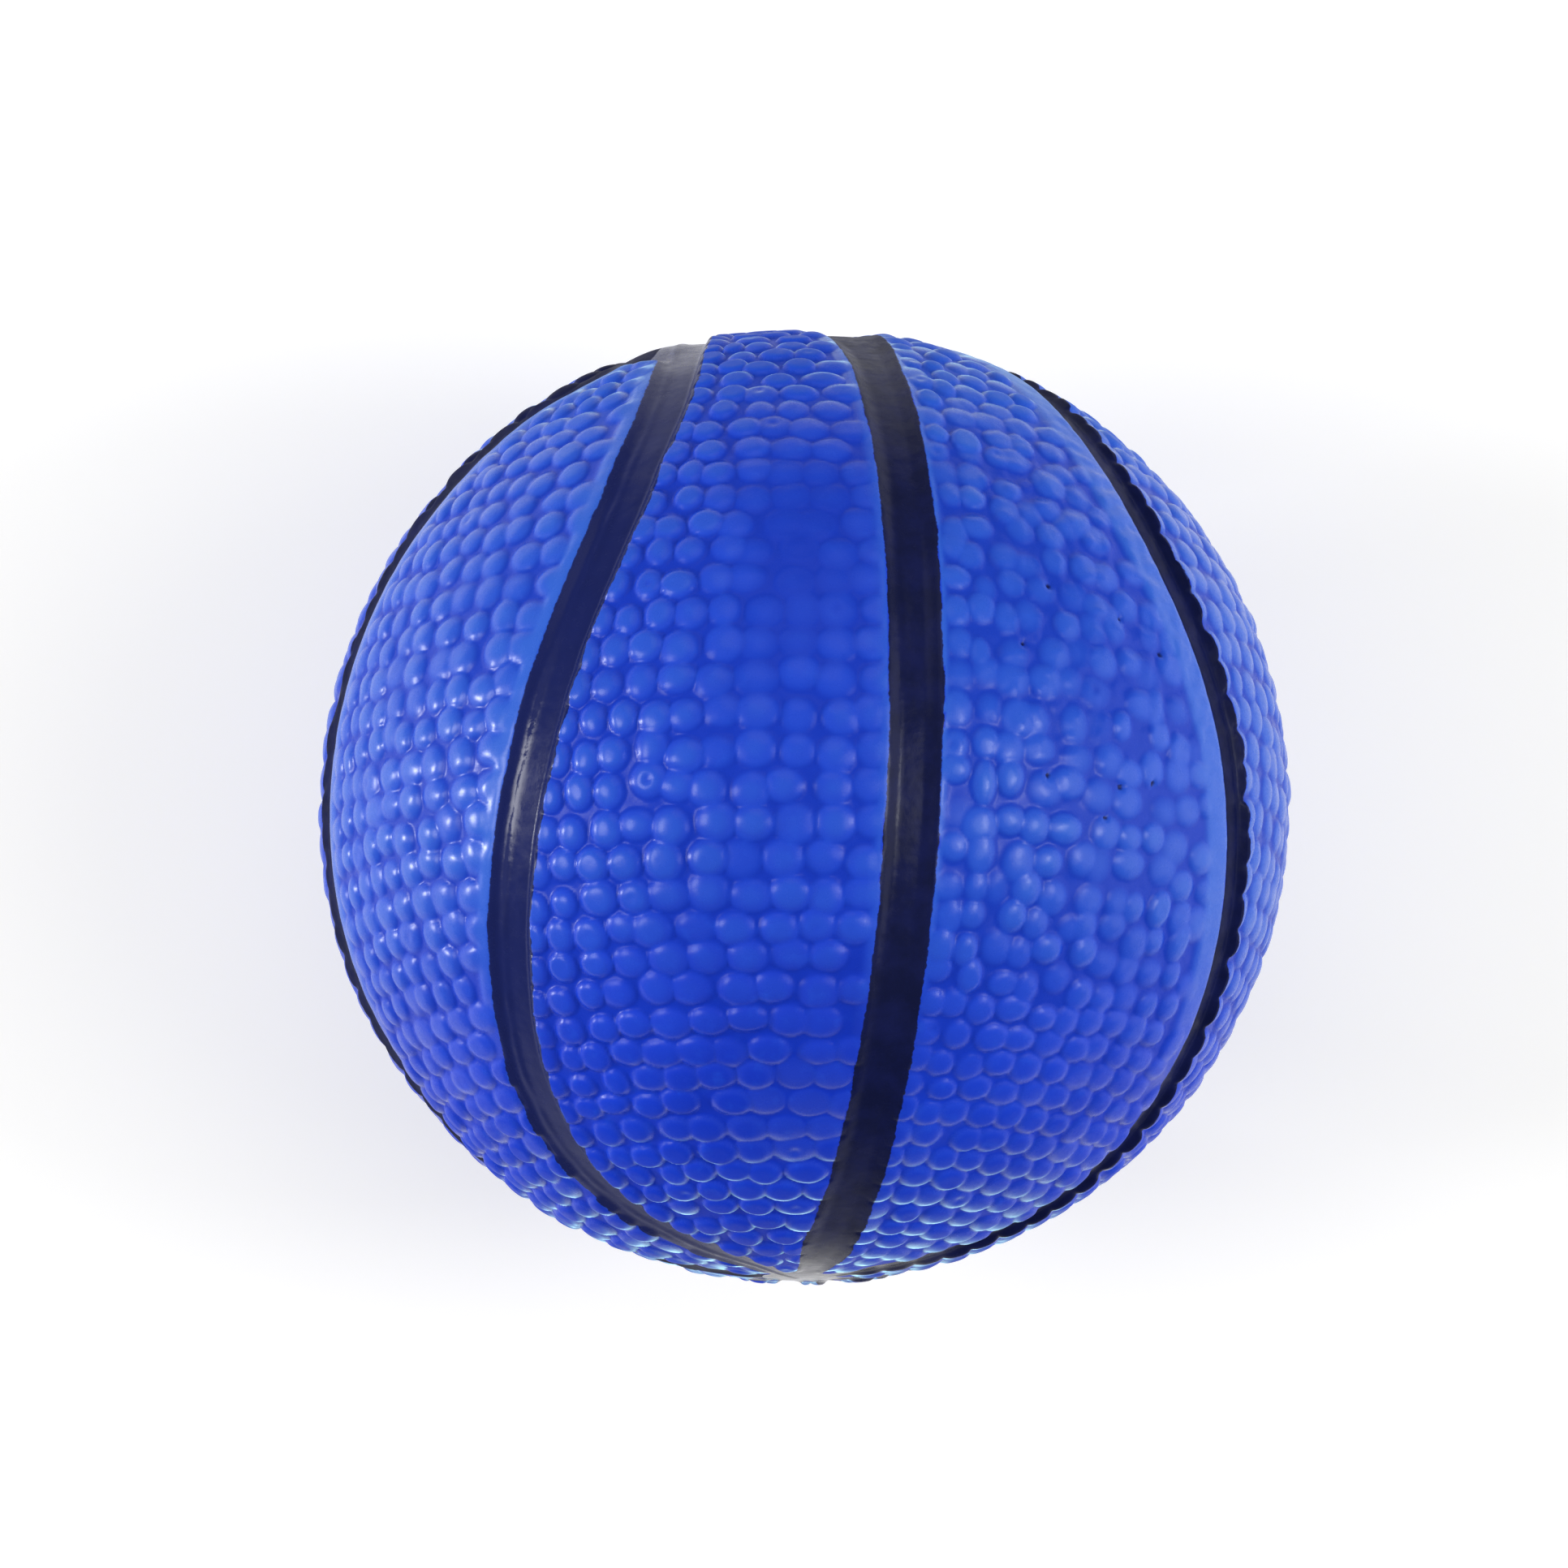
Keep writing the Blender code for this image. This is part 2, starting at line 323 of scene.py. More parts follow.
class Skin:
    """Depth and masks of the ball's outer surface inside one sector."""

    def __init__(self, number):
        self.number = number
        self.left_margin, self.right_margin = PANELS[number][:2]
        p = lay_pebbles(number)
        self.lat, self.lon = p[:, 0], p[:, 1]
        self.wide, self.long, self.tall, self.dent = p[:, 2], p[:, 3], p[:, 4], p[:, 5]
        self.off, self.worn = p[:, 6:8], p[:, 8]
        # Towards the poles the pebbles are a little flatter, with steeper rims.
        self.flat = PANELS[number][5] + 0.30 * step(0.45, 0.85, np.abs(self.lat))
        self.at = on_ball(self.lat, self.lon, BASE)
        east = np.stack((np.cos(self.lon), 0.0 * self.lon, -np.sin(self.lon)), axis=-1)
        north = np.stack(
            (
                -np.sin(self.lat) * np.sin(self.lon),
                np.cos(self.lat),
                -np.sin(self.lat) * np.cos(self.lon),
            ),
            axis=-1,
        )
        self.east, self.north = east, north

    def domes(self, latitude, longitude):
        """Pebble height at a block of points, rows by columns."""
        high = np.zeros(latitude.shape)
        reach = 1.7 / RADIUS
        block = 16
        for start in range(0, latitude.shape[0], block):
            lat, lon = latitude[start : start + block], longitude[start : start + block]
            near = (self.lat > lat.min() - reach) & (self.lat < lat.max() + reach)
            if not near.any():
                continue
            away = on_ball(lat, lon, BASE)[..., None, :] - self.at[near]
            dx = (away * self.east[near]).sum(axis=-1)
            dy = (away * self.north[near]).sum(axis=-1)
            far = (dx / self.wide[near]) ** 2 + (dy / self.long[near]) ** 2
            h = self.tall[near] * np.clip(1.0 - far ** self.flat[near], 0.0, 1.0) ** 0.88
            edge = np.exp(-(((np.sqrt(far) - 0.80) / 0.13) ** 2))
            h = h + 0.030 * self.worn[near] * edge
            ring = (dx - self.off[near, 0]) ** 2 + (dy - self.off[near, 1]) ** 2
            h = h - self.dent[near] * np.exp(-ring / 0.10) * (far < 1.0)
            if h.shape[-1] > 1:
                top = np.partition(h, h.shape[-1] - 2, axis=-1)[..., -2:]
                best = soft_max(top[..., 1], top[..., 0], 0.016) - 0.008
            else:
                best = h[..., 0]
            high[start : start + block] = np.maximum(best, 0.0)
        return high

    def side(self, away, margin, wobble, long=1.84):
        """Ceiling of the skin this far from one seam, and its smooth share."""
        if margin:
            bevel = FLOOR - (FLOOR + 0.02) * step(0.62, 2.25, away)
            return bevel, step(PAINT + margin + 0.7, PAINT + margin - 0.3, away)
        cut = FLOOR - (FLOOR + 0.12) * step(0.92, long + 0.04 * wobble, away)
        return cut, 0.0 * away

    def __call__(self, latitude, longitude):
        ring = RADIUS * np.cos(latitude)
        s = (longitude - seam_longitude(self.number, latitude)) * ring
        w = (seam_longitude(self.number + 1, latitude) - longitude) * ring
        narrow = taper(latitude)
        s = s / narrow - flare(self.number, latitude)
        w = w / narrow - flare(self.number + 1, latitude)
        points = on_ball(latitude, longitude, 0.0)
        wobble = edge_wobble(points)
        high = self.domes(latitude, longitude)
        # How far each point lies on the poleward side of its pebble.
        climb = np.gradient(high, axis=0) / (RADIUS * np.gradient(latitude, axis=0))
        poleward = step(-0.25, 0.32, -np.sign(latitude) * climb)
        from_left, smooth_left = self.side(s, self.left_margin, wobble)
        # Beside the seventh seam the sixth panel slopes down slowly, half painted.
        slope = 4.4 if self.number == 5 else 1.84
        from_right, smooth_right = self.side(w, self.right_margin, wobble, slope)
        margin = np.maximum(smooth_left, smooth_right) * smooth_share(latitude)
        base = BASE + (MARGIN_LEVEL - BASE) * margin
        skin = base - high * (1.0 - 0.85 * margin)
        skin = skin + 0.014 * grain(points) + 0.035 * lumps(points) + 0.01
        if self.number == 0:
            # Bubbles just under the skin roughen the upper half of this panel.
            upper = step(0.05, 0.30, s / (s + w)) * step(-0.20, 0.0, latitude)
            skin = skin - 0.045 * upper * step(0.95, 0.60, latitude) * np.clip(crumbs(points), -0.6, 1.6)
        depth = soft_max(soft_max(skin, from_left, 0.07), from_right, 0.08)
        depth = np.minimum(depth, FLOOR + 0.04)
        # Towards the poles, and where two seams close up, all is groove.
        closing = 2.0 * step(0.85, 1.0, latitude) if self.number == 6 else 0.0
        merge = step(1.2, 3.2, ring) * step(3.3 + closing, 4.6 + closing, s + w)
        depth = FLOOR + (depth - FLOOR) * merge
        share = SHALLOW + (1.0 - SHALLOW) * step(5.0, 13.0, ring)
        depth = np.where(depth > SHELF, SHELF + (depth - SHELF) * share, depth)
        relief = np.clip(high / RELIEF, 0.0, 1.2)
        serrated = PAINT - 0.10 + 0.16 * relief + 0.06 * wobble
        plain = PAINT + 0.03 * wobble
        over = 1.1 + 1.3 * step(0.40, 0.75, latitude) if self.number == 5 else 0.0
        paint = np.maximum(
            (plain if self.left_margin else serrated) - s,
            (plain if self.right_margin else serrated) - w + over,
        )
        paint = np.maximum(paint / 0.5 + 0.5, 1.0 - merge * 1.4)
        pit = np.zeros(latitude.shape)
        for lat, lon, size in PINHOLES:
            hole = on_ball(math.radians(lat), math.radians(lon), 0.0)
            gap = ((points - hole) ** 2).sum(axis=-1)
            pit = np.maximum(pit, np.exp(-gap / (size * size)))
        depth = depth + 0.28 * pit
        bead = 0.0
        if self.number == 6:
            # A bead of paint runs along the floor of the last seam.
            bead = np.exp(-(((w - 0.66) / 0.29) ** 2))
            depth = depth - 0.085 * (0.82 + 0.18 * wobble) * bead
            bead = bead * step(-0.46, -0.28, latitude) * step(0.20, 0.04, latitude)
        for lat, lon, swell, reach in SWELLS:
            top = on_ball(math.radians(lat), math.radians(lon), 0.0)
            gap = ((points - top) ** 2).sum(axis=-1)
            depth = depth - swell * np.exp(-gap / (RADIUS * math.radians(reach)) ** 2)
        relief = np.maximum(relief, 0.7 * margin)
        # Paler on the smooth margins; the pebble crowns are painted paler as a painted highlight, and the paleness is
        # taken away towards the lower pole as painted shade on the lower side.
        tone = TONES[self.number] + 0.5 * margin + 0.40 * step(0.55, 1.0, relief)
        tone = np.clip(tone, 0.0, 1.6) * (1.0 - 0.90 * step(0.20, 0.75, -latitude))
        # Glossy crowns; on the scales near the poles only the rims shine.
        steep = step(0.50, 0.85, np.abs(latitude))
        rim = step(0.04, 0.18, relief) * step(0.82, 0.50, relief)
        crest = step(0.02, 0.14, relief) * step(1.05, 0.60, relief)
        # The rims near the poles are painted paler: a painted reflection of the bright surroundings at grazing angles.
        tone = tone + 0.12 * steep * rim
        bare = GLOSS[self.number] * (0.46 + 0.49 * step(0.25, 0.65, relief))
        bare = bare * (1.0 - 0.18 * step(0.15, 0.50, -latitude))
        edge = 0.72 if self.number == 0 else 0.90
        bare = bare + steep * (0.10 + edge * rim * (0.35 + 0.65 * poleward) - bare)
        line = np.where(s < w, shine(self.number, latitude), shine(self.number + 1, latitude))
        line = line + (1.0 - line) * np.clip(1.25 * bead, 0.0, 1.0)
        gloss = np.where(paint < 0.5, bare, line)
        thin = np.where(s < w, THIN[self.number], THIN[(self.number + 1) % COUNT])
        tone = np.where(paint < 0.5, tone, thin)
        relief = np.maximum(relief, 0.38 * steep)
        # Sheen on the poleward rims near the poles stands in for the bright reflected crescents there.
        bloom = crest * (0.10 + 2.60 * poleward)
        bloom = bloom * (step(0.82, 1.15, -latitude) + 0.40 * step(0.60, 0.95, latitude))
        bloom = np.where(paint < 0.5, bloom, 0.0)
        return depth, np.clip(paint, 0.0, 1.0), relief, pit, tone, gloss, bloom


# --------------------------------------------------------------------- meshes
def build(name, vertices, faces, rim, layers, material):
    """A mesh object from arrays; edges between rim vertices stay sharp."""
    mesh = bpy.data.meshes.new(name)
    mesh.vertices.add(len(vertices))
    mesh.vertices.foreach_set("co", (vertices * 0.001).astype(np.float32).ravel())
    sizes = np.concatenate([np.full(len(f), f.shape[1], np.int32) for f in faces])
    corners = np.concatenate([f.ravel() for f in faces]).astype(np.int32)
    mesh.loops.add(len(corners))
    mesh.loops.foreach_set("vertex_index", corners)
    mesh.polygons.add(len(sizes))
    mesh.polygons.foreach_set(
        "loop_start", np.concatenate(([0], np.cumsum(sizes)[:-1])).astype(np.int32)
    )
    mesh.update(calc_edges=True)
    mesh.validate()
    for layer, values in layers.items():
        attribute = mesh.attributes.new(layer, "FLOAT", "POINT")
        attribute.data.foreach_set("value", values.astype(np.float32))
    mesh.shade_smooth()
    ends = np.empty(len(mesh.edges) * 2, np.int32)
    mesh.edges.foreach_get("vertices", ends)
    ends = ends.reshape(-1, 2)
    mesh.edges.foreach_set("use_edge_sharp", rim[ends[:, 0]] & rim[ends[:, 1]])
    mesh.materials.append(material)
    piece = bpy.data.objects.new(name, mesh)
    bpy.context.scene.collection.objects.link(piece)
    return piece


def quads(first, rows, columns, flip=False):
    """Quads of a grid of (rows + 1) x (columns + 1) vertices."""
    i, j = np.meshgrid(np.arange(rows), np.arange(columns), indexing="ij")
    a = (first + i * (columns + 1) + j).ravel()
    b, c, d = a + 1, a + columns + 2, a + columns + 1
    return np.stack((a, d, c, b) if flip else (a, b, c, d), axis=1)


def shell(name, latitude, longitude, sample, back_columns, material):
    """A closed piece: a displaced outer grid, plain back and side walls."""
    rows, columns = latitude.shape[0] - 1, latitude.shape[1] - 1
    depth, paint, relief, pit, tone, gloss, bloom = sample
    front = on_ball(latitude, longitude, depth).reshape(-1, 3)
    pick = np.linspace(0, columns, back_columns + 1).round().astype(int)
    back = on_ball(latitude[:, pick], longitude[:, pick], BACK).reshape(-1, 3)
    vertices = np.concatenate((front, back))
    n, m = len(front), back_columns
    faces = [quads(0, rows, columns), quads(n, rows, m, flip=True)]
    r = np.arange(rows)
    f0, b0 = r * (columns + 1), n + r * (m + 1)
    faces.append(np.stack((f0, f0 + columns + 1, b0 + m + 1, b0), axis=1))
    f1, b1 = f0 + columns, b0 + m
    faces.append(np.stack((f1, b1, b1 + m + 1, f1 + columns + 1), axis=1))
    low = np.concatenate((np.arange(columns, -1, -1), n + np.arange(m + 1)))
    top = np.concatenate(
        (rows * (columns + 1) + np.arange(columns + 1), n + rows * (m + 1) + np.arange(m, -1, -1))
    )
    faces += [low[None, :], top[None, :]]
    rim = np.zeros(len(vertices), bool)
    for grid_first, wide in ((0, columns), (n, m)):
        index = grid_first + np.arange((rows + 1) * (wide + 1)).reshape(rows + 1, wide + 1)
        for line in (index[0], index[-1], index[:, 0], index[:, -1]):
            rim[line] = True
    layers = {}
    named = {"paint": paint, "relief": relief, "pit": pit, "tone": tone, "shine": gloss}
    named["bloom"] = bloom
    for layer, values in named.items():
        layers[layer] = np.concatenate((values.ravel(), np.zeros(len(back))))
    return build(name, vertices, faces, rim, layers, material)


# ------------------------------------------------------------------ materials
def new_material(name):
    material = bpy.data.materials.new(name)
    material.use_nodes = True
    tree = material.node_tree
    tree.nodes.clear()
    out = tree.nodes.new("ShaderNodeOutputMaterial")
    shader = tree.nodes.new("ShaderNodeBsdfPrincipled")
    tree.links.new(shader.outputs["BSDF"], out.inputs["Surface"])
    return material, tree, shader


def node(tree, kind, **settings):
    made = tree.nodes.new(kind)
    for key, value in settings.items():
        if key in made.inputs:
            made.inputs[key].default_value = value
        else:
            setattr(made, key, value)
    return made


def noise(tree, scale, detail=4.0, roughness=0.55, distortion=0.0):
    place = node(tree, "ShaderNodeTexCoord")
    made = node(tree, "ShaderNodeTexNoise")
    made.inputs["Scale"].default_value = scale
    made.inputs["Detail"].default_value = detail
    made.inputs["Roughness"].default_value = roughness
    made.inputs["Distortion"].default_value = distortion
    tree.links.new(place.outputs["Object"], made.inputs["Vector"])
    return made.outputs["Fac"]


def span(tree, value, low, high, to_low, to_high, kind="SMOOTHSTEP"):
    made = node(tree, "ShaderNodeMapRange", interpolation_type=kind)
    made.inputs["From Min"].default_value = low
    made.inputs["From Max"].default_value = high
    made.inputs["To Min"].default_value = to_low
    made.inputs["To Max"].default_value = to_high
    tree.links.new(value, made.inputs["Value"])
    return made.outputs["Result"]


def mix(tree, factor, a, b):
    made = node(tree, "ShaderNodeMix", data_type="RGBA")
    tree.links.new(factor, made.inputs["Factor"])
    for socket, value in ((made.inputs[6], a), (made.inputs[7], b)):
        if isinstance(value, tuple):
            socket.default_value = (*value, 1.0)
        else:
            tree.links.new(value, socket)
    return made.outputs[2]


def maths(tree, operation, a, b):
    made = node(tree, "ShaderNodeMath", operation=operation)
    for socket, value in ((made.inputs[0], a), (made.inputs[1], b)):
        if isinstance(value, (int, float)):
            socket.default_value = value
        else:
            tree.links.new(value, socket)
    return made.outputs[0]


def attribute(tree, name):
    return node(tree, "ShaderNodeAttribute", attribute_name=name).outputs["Fac"]


def bump(tree, shader, height, distance, strength, before=None):
    made = node(tree, "ShaderNodeBump")
    made.inputs["Strength"].default_value = strength
    made.inputs["Distance"].default_value = distance
    tree.links.new(height, made.inputs["Height"])
    if before is not None:
        tree.links.new(before, made.inputs["Normal"])
    if shader is not None:
        tree.links.new(made.outputs["Normal"], shader.inputs["Normal"])
    return made.outputs["Normal"]


BLUE = (0.0085, 0.045, 0.645)
BLUE_DEEP = (0.0065, 0.034, 0.560)
BLUE_LIGHT = (0.0270, 0.122, 0.655)
BLUE_PALE = (0.0150, 0.080, 0.710)
VALLEY_SHADE = (0.0040, 0.030, 0.470)
BLACK = (0.0030, 0.0055, 0.0400)
BLACK_SHEEN = (0.0055, 0.0090, 0.0680)
BLACK_THIN = (0.0070, 0.0150, 0.1250)


def black_colour(tree):
    streak = noise(tree, 420.0, 5.0, 0.6)
    black = mix(tree, span(tree, streak, 0.35, 0.70, 0.0, 1.0), BLACK, BLACK_SHEEN)
    thin = span(tree, attribute(tree, "tone"), 0.0, 1.0, 0.0, 1.0, "LINEAR")
    return mix(tree, thin, black, BLACK_THIN)


def skin_material():
    material, tree, shader = new_material("blue_self_skin")
    cloud = noise(tree, 110.0, 3.0, 0.5)
    mottle = noise(tree, 900.0, 4.0, 0.6)
    blue = mix(tree, span(tree, cloud, 0.32, 0.68, 0.0, 1.0), BLUE_DEEP, BLUE)
    blue = mix(tree, span(tree, mottle, 0.50, 0.80, 0.0, 0.45), blue, BLUE_PALE)
    # The tone layer paints the blue paler: on the side panels, the pebble crowns and the polar rims this is painted
    # light, and its fading towards the lower pole is painted shade.
    blue = mix(tree, span(tree, attribute(tree, "tone"), 0.0, 1.6, 0.0, 1.2, "LINEAR"), blue, BLUE_LIGHT)
    relief = attribute(tree, "relief")
    # The valleys between the pebbles are painted darker: painted shade in the creases.
    blue = mix(tree, span(tree, relief, 0.0, 0.55, 0.75, 0.0), blue, VALLEY_SHADE)
    # The pinholes are painted nearly black: painted shade inside the holes, besides their real depth.
    pit = attribute(tree, "pit")
    blue = mix(tree, span(tree, pit, 0.25, 0.75, 0.0, 1.0), blue, (0.004, 0.008, 0.10))
    ragged = noise(tree, 2600.0, 3.0, 0.6)
    paint = maths(tree, "ADD", attribute(tree, "paint"), span(tree, ragged, 0.25, 0.75, -0.10, 0.10))
    mask = span(tree, paint, 0.46, 0.56, 0.0, 1.0)
    tree.links.new(mix(tree, mask, blue, black_colour(tree)), shader.inputs["Base Color"])
    # A broad cool haze under a thin, glossier top skin that the valleys lack.
    dull = noise(tree, 1500.0, 4.0, 0.65)
    tree.links.new(span(tree, dull, 0.30, 0.72, 0.46, 0.60), shader.inputs["Roughness"])
    shader.inputs["IOR"].default_value = 1.42
    tree.links.new(span(tree, mask, 0.0, 1.0, 0.07, 0.03), shader.inputs["Specular IOR Level"])
    tree.links.new(
        mix(tree, mask, (0.42, 0.86, 1.0), (0.70, 0.78, 1.0)), shader.inputs["Specular Tint"]
    )
    tree.links.new(attribute(tree, "shine"), shader.inputs["Coat Weight"])
    tree.links.new(span(tree, dull, 0.30, 0.72, 0.23, 0.31), shader.inputs["Coat Roughness"])
    # Sheen on the poleward rims of the pebbles near the poles, standing in for the bright reflected crescents there.
    tree.links.new(maths(tree, "MULTIPLY", attribute(tree, "bloom"), 1.00), shader.inputs["Sheen Weight"])
    shader.inputs["Sheen Roughness"].default_value = 0.35
    shader.inputs["Sheen Tint"].default_value = (0.45, 0.80, 1.0, 1.0)
    shader.inputs["Coat IOR"].default_value = 1.45
    fine = noise(tree, 2400.0, 4.0, 0.6)
    soft = noise(tree, 750.0, 2.0, 0.5)
    first = bump(tree, None, soft, 0.00010, 0.22)
    relief_bump = bump(tree, shader, fine, 0.00004, 0.16, first)
    tree.links.new(relief_bump, shader.inputs["Coat Normal"])
    return material


def seam_material():
    material, tree, shader = new_material("black_seam_paint")
    tree.links.new(black_colour(tree), shader.inputs["Base Color"])
    dull = noise(tree, 1300.0, 5.0, 0.65)
    tree.links.new(span(tree, dull, 0.30, 0.72, 0.44, 0.60), shader.inputs["Roughness"])
    shader.inputs["IOR"].default_value = 1.42
    shader.inputs["Specular IOR Level"].default_value = 0.03
    shader.inputs["Specular Tint"].default_value = (0.70, 0.78, 1.0, 1.0)
    wet = attribute(tree, "shine")
    rough = span(tree, dull, 0.30, 0.72, 0.18, 0.30)
    rough = maths(tree, "MULTIPLY", rough, span(tree, wet, 0.70, 0.95, 1.0, 0.50))
    tree.links.new(rough, shader.inputs["Coat Roughness"])
    tree.links.new(wet, shader.inputs["Coat Weight"])
    shader.inputs["Coat IOR"].default_value = 1.45
    fine = noise(tree, 1900.0, 4.0, 0.6)
    soft = noise(tree, 520.0, 2.0, 0.5)
    first = bump(tree, None, soft, 0.00016, 0.45)
    worn = bump(tree, shader, fine, 0.00005, 0.30, first)
    tree.links.new(worn, shader.inputs["Coat Normal"])
    return material


def foam_material():
    material, tree, shader = new_material("white_foam")
    place = node(tree, "ShaderNodeTexCoord")
    cells = node(tree, "ShaderNodeTexVoronoi", feature="DISTANCE_TO_EDGE")
    cells.inputs["Scale"].default_value = 1400.0
    tree.links.new(place.outputs["Object"], cells.inputs["Vector"])
    wall = cells.outputs["Distance"]
    cloud = noise(tree, 160.0, 3.0, 0.5)
    foam = mix(tree, span(tree, cloud, 0.3, 0.7, 0.0, 1.0), (0.70, 0.68, 0.61), (0.78, 0.77, 0.72))
    foam = mix(tree, span(tree, wall, 0.0, 0.18, 0.0, 0.35), foam, (0.55, 0.53, 0.47))
    tree.links.new(foam, shader.inputs["Base Color"])
    tree.links.new(span(tree, cloud, 0.3, 0.7, 0.80, 0.92), shader.inputs["Roughness"])
    bump(tree, shader, wall, 0.0003, 0.6)
    return material


def floor_material():
    material, tree, shader = new_material("white_table")
    cloud = noise(tree, 9.0, 2.0, 0.5)
    tree.links.new(
        mix(tree, span(tree, cloud, 0.3, 0.7, 0.0, 1.0), (0.925, 0.920, 0.892), (0.932, 0.926, 0.898)),
        shader.inputs["Base Color"],
    )
    shader.inputs["Roughness"].default_value = 0.9
    shader.inputs["Specular IOR Level"].default_value = 0.1
    shader.inputs["Emission Color"].default_value = (1.0, 0.995, 0.955, 1.0)
    path = node(tree, "ShaderNodeLightPath")
    tree.links.new(
        maths(
            tree,
            "MULTIPLY",
            maths(tree, "MAXIMUM", path.outputs["Is Camera Ray"], path.outputs["Is Glossy Ray"]),
            0.25,
        ),
        shader.inputs["Emission Strength"],
    )
    return material


skin_blue = skin_material()
seam_black = seam_material()
foam_white = foam_material()

# --------------------------------------------------------------------- pieces
skins = [Skin(number) for number in range(COUNT)]
strip = EDGE * taper(ROW_LATITUDES) / (RADIUS * np.cos(ROW_LATITUDES))
for number, skin in enumerate(skins):
    left = seam_longitude(number, ROW_LATITUDES) + strip
    right = seam_longitude(number + 1, ROW_LATITUDES) - strip
    share = np.linspace(0.0, 1.0, COLUMNS + 1)
    longitude = left[:, None] + (right - left)[:, None] * share
    latitude = np.repeat(ROW_LATITUDES[:, None], COLUMNS + 1, axis=1)
    piece = shell(
        f"pebbled_panel_{number + 1}", latitude, longitude, skin(latitude, longitude), 6, skin_blue
    )
    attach(piece, "root")
    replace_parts(piece, f"skin_panel_{number + 1}")

for number in range(COUNT):
    share = np.linspace(-1.0, 1.0, STRIP_COLUMNS + 1)
    longitude = seam_longitude(number, ROW_LATITUDES)[:, None] + strip[:, None] * share
    latitude = np.repeat(ROW_LATITUDES[:, None], STRIP_COLUMNS + 1, axis=1)
    half = STRIP_COLUMNS // 2
    after = skins[number](latitude[:, half:], longitude[:, half:])
    turn = 2.0 * math.pi if number == 0 else 0.0
    before = skins[number - 1](latitude[:, :half], longitude[:, :half] + turn)
    sample = [np.concatenate((b, a), axis=1) for b, a in zip(before, after)]
    piece = shell(f"sunken_seam_{number + 1}", latitude, longitude, sample, 2, seam_black)
    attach(piece, "root")
    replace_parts(piece, f"seam_line_{number + 1}")


def junction(name, side):
    """The small black dish in which all seam lines meet at one pole."""
    parts = 6
    turns, sectors = [], []
    edge_lat = side * LAST
    e = EDGE * float(taper(LAST)) / CAP
    for number in range(COUNT):
        here = float(seam_longitude(number, edge_lat))
        after = float(seam_longitude(number + 1, edge_lat))
        places = np.concatenate(
            (
                np.linspace(here, here + e, 8, endpoint=False),
                np.linspace(here + e, after - e, parts, endpoint=False),
                np.linspace(after - e, after, 8, endpoint=False),
            )
        )
        turns.append(places)
        sectors.append(np.full(len(places), number))
    turns, sectors = np.concatenate(turns), np.concatenate(sectors)
    rings = 22
    radii = CAP * (np.arange(1, rings + 1) / rings)
    lat_line = side * np.arccos(radii / RADIUS)
    latitude = np.repeat(lat_line[:, None], len(turns), axis=1)
    longitude = np.repeat(turns[None, :], rings, axis=0)
    depth = np.zeros(latitude.shape)
    for number in range(COUNT):
        own = sectors == number
        depth[:, own] = skins[number](latitude[:, own], longitude[:, own])[0]
    front = on_ball(latitude, longitude, depth)
    tip_depth = SHELF + (FLOOR - SHELF) * SHALLOW
    tip = on_ball(np.array(side * math.pi / 2), np.array(0.0), np.array(tip_depth))
    rim_back = on_ball(latitude[-1], longitude[-1], BACK)
    tip_back = on_ball(np.array(side * math.pi / 2), np.array(0.0), np.array(BACK))
    n = len(turns)
    vertices = np.concatenate((front.reshape(-1, 3), tip[None], rim_back, tip_back[None]))
    j = np.arange(n)
    k = (j + 1) % n
    faces = []
    for i in range(rings - 1):
        faces.append(np.stack((i * n + j, i * n + k, (i + 1) * n + k, (i + 1) * n + j), axis=1))
    centre = rings * n
    faces.append(np.stack((np.full(n, centre), k, j), axis=1))
    back = centre + 1
    outer = (rings - 1) * n
    faces.append(np.stack((outer + j, outer + k, back + k, back + j), axis=1))
    faces.append(np.stack((np.full(n, back + n), back + j, back + k), axis=1))
    if side > 0:
        faces = [f[:, ::-1] for f in faces]
    rim = np.zeros(len(vertices), bool)
    rim[outer : outer + n] = True
    rim[back : back + n] = True
    layers = {"shine": np.full(len(vertices), 0.14 if side > 0 else 0.85)}
    piece = build(name, vertices, faces, rim, layers, seam_black)
    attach(piece, "root")
    return piece


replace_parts(junction("pole_junction_north", 1.0), "seam_junction_north")
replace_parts(junction("pole_junction_south", -1.0), "seam_junction_south")


def foam_core():
    """The foam body inside the skin, with a slightly cellular face."""
    rows, columns = 120, 240
    lat = np.linspace(-math.pi / 2, math.pi / 2, rows + 1)[1:-1]
    lon = np.arange(columns) * (2.0 * math.pi / columns)
    latitude = np.repeat(lat[:, None], columns, axis=1)
    longitude = np.repeat(lon[None, :], rows - 1, axis=0)
    points = on_ball(latitude, longitude, 2.5)
    cells = Waves(21, 2.2, 22)
    depth = 2.62 + 0.07 * np.clip(np.abs(cells(points)), 0.0, 1.6)
    body = on_ball(latitude, longitude, depth).reshape(-1, 3)
    poles = on_ball(np.array([-math.pi / 2, math.pi / 2]), np.zeros(2), np.full(2, 2.65))
    vertices = np.concatenate((body, poles))
    j = np.arange(columns)
    k = (j + 1) % columns
    faces = []
    for i in range(rows - 2):
        faces.append(np.stack((i * columns + j, i * columns + k, (i + 1) * columns + k, (i + 1) * columns + j), axis=1))
    south, north = len(body), len(body) + 1
    faces.append(np.stack((np.full(columns, south), k, j), axis=1))
    last = (rows - 2) * columns
    faces.append(np.stack((np.full(columns, north), last + j, last + k), axis=1))
    piece = build("foam_body", vertices, faces, np.zeros(len(vertices), bool), {}, foam_white)
    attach(piece, "root")
    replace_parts(piece, "foam_core")


foam_core()

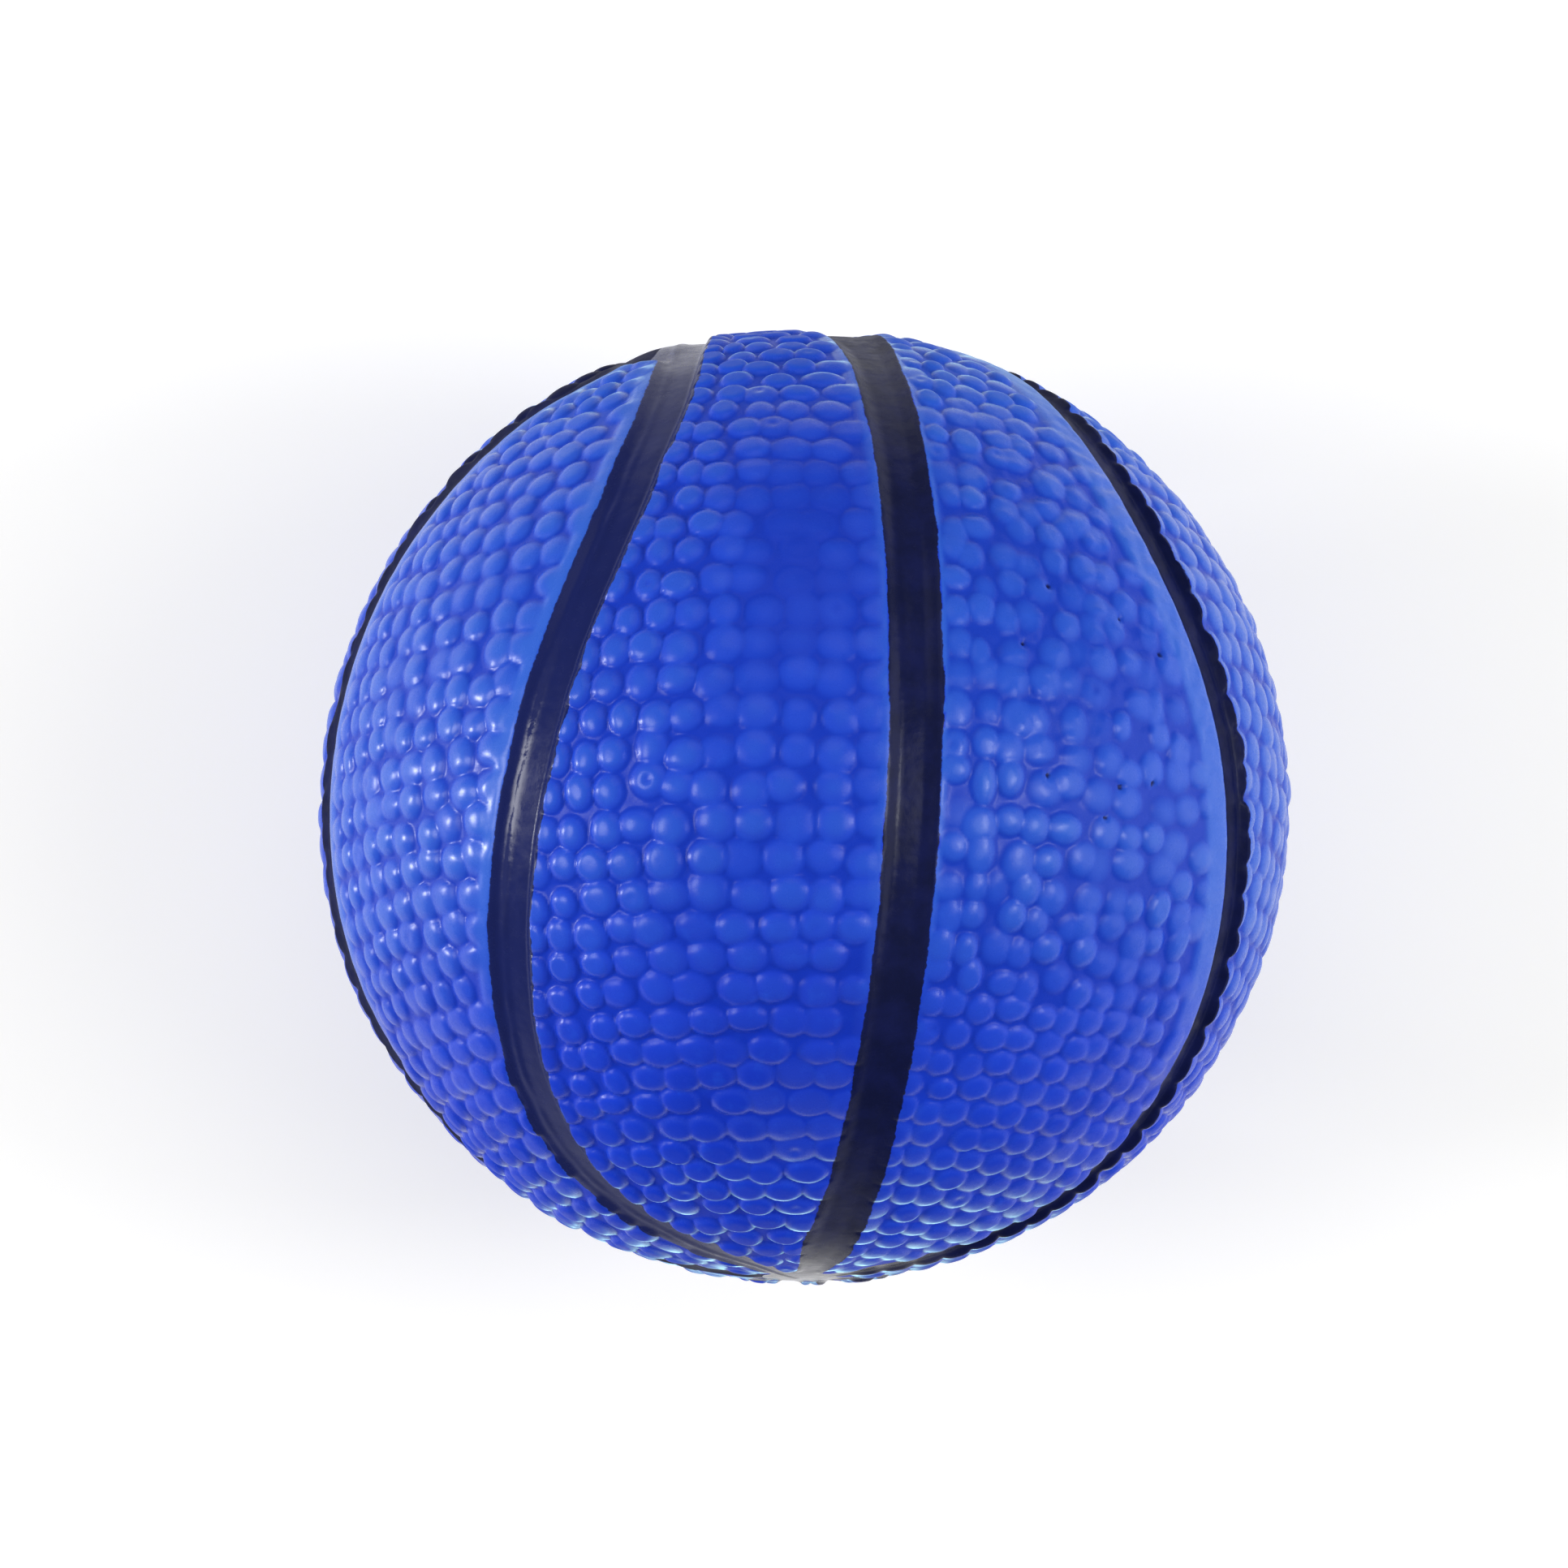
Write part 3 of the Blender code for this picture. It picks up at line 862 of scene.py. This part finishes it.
# ---------------------------------------------------------------------- stage
# The photograph looks along this axis; the lamps stand round it.
tilt, roll = math.radians(-11.5), math.radians(0.72)
ct, st, cr, sr = math.cos(tilt), math.sin(tilt), math.cos(roll), math.sin(roll)
right = Vector((cr, sr * ct, -sr * st))
up = Vector((-sr, cr * ct, -cr * st))
back = Vector((0.0, st, ct))

# The ball lies on the point furthest from the camera, on a white table.
table = bpy.data.meshes.new("table_top")
half = 3.0
table.from_pydata(
    [
        tuple(x * half * right + y * half * up - RADIUS * 0.001 * back)
        for x, y in ((-1, -1), (1, -1), (1, 1), (-1, 1))
    ],
    [],
    [(0, 1, 2, 3)],
)
table.materials.append(floor_material())
table_top = bpy.data.objects.new("table_top", table)
bpy.context.scene.collection.objects.link(table_top)


def lamp(name, polar, side, wide, long, radiance, lean=0.0):
    """A soft box that many degrees off the axis, to the left (-1) or right (1)."""
    distance = 0.50
    data = bpy.data.lights.new(name, "AREA")
    data.shape = "ELLIPSE"
    data.size = 2.0 * distance * math.tan(math.radians(wide))
    data.size_y = 2.0 * distance * math.tan(math.radians(long))
    data.energy = radiance * math.pi * math.pi / 4.0 * data.size * data.size_y
    made = bpy.data.objects.new(name, data)
    a, b = math.radians(polar), math.radians(lean)
    away = math.cos(b) * (side * math.sin(a) * right + math.cos(a) * back) + math.sin(b) * up
    across = up.cross(away).normalized()
    made.matrix_world = Matrix.Translation(away * distance) @ Matrix(
        (across, away.cross(across), away)
    ).transposed().to_4x4()
    bpy.context.scene.collection.objects.link(made)
    return made


lamp("right_soft", 40.0, 1.0, 18.0, 18.0, 2.1)
lamp("left_box", 50.0, -1.0, 12.0, 12.0, 7.8)
lamp("left_low", 83.0, -1.0, 3.6, 3.6, 84.0)
lamp("right_spot", 48.0, 1.0, 8.0, 8.0, 9.0)
lamp("right_side", 77.0, 1.0, 18.0, 28.0, 1.4)
lamp("over", 0.0, 1.0, 20.0, 20.0, 0.62, 42.0)

world = bpy.data.worlds.new("studio")
bpy.context.scene.world = world
world.use_nodes = True
sky = world.node_tree
sky.nodes.clear()
fill = node(sky, "ShaderNodeBackground")
fill.inputs["Color"].default_value = (1.0, 1.0, 1.0, 1.0)
fill.inputs["Strength"].default_value = 0.34
seen = node(sky, "ShaderNodeBackground")
seen.inputs["Color"].default_value = (0.97, 0.975, 0.985, 1.0)
seen.inputs["Strength"].default_value = 1.0
path = node(sky, "ShaderNodeLightPath")
both = node(sky, "ShaderNodeMixShader")
end = node(sky, "ShaderNodeOutputWorld")
sky.links.new(path.outputs["Is Camera Ray"], both.inputs["Fac"])
sky.links.new(fill.outputs["Background"], both.inputs[1])
sky.links.new(seen.outputs["Background"], both.inputs[2])
sky.links.new(both.outputs["Shader"], end.inputs["Surface"])

# --------------------------------------------------------------------- camera
reach = 10.0 * RADIUS * 0.001
view = bpy.data.cameras.new("photo_view")
view.sensor_width = 36.0
view.sensor_fit = "HORIZONTAL"
view.lens = 599.5 * math.sqrt(99.0) / 1932.0 * 36.0
view.shift_x = -26.5 / 1932.0
view.shift_y = 26.06 / 1932.0
view.clip_start, view.clip_end = 0.01, 20.0
camera = bpy.data.objects.new("photo_view", view)
camera.matrix_world = Matrix.Translation(back * reach) @ Matrix(
    (right, up, back)
).transposed().to_4x4()
bpy.context.scene.collection.objects.link(camera)
bpy.context.scene.camera = camera
bpy.context.scene.view_settings.view_transform = "Standard"
bpy.context.scene.view_settings.look = "None"
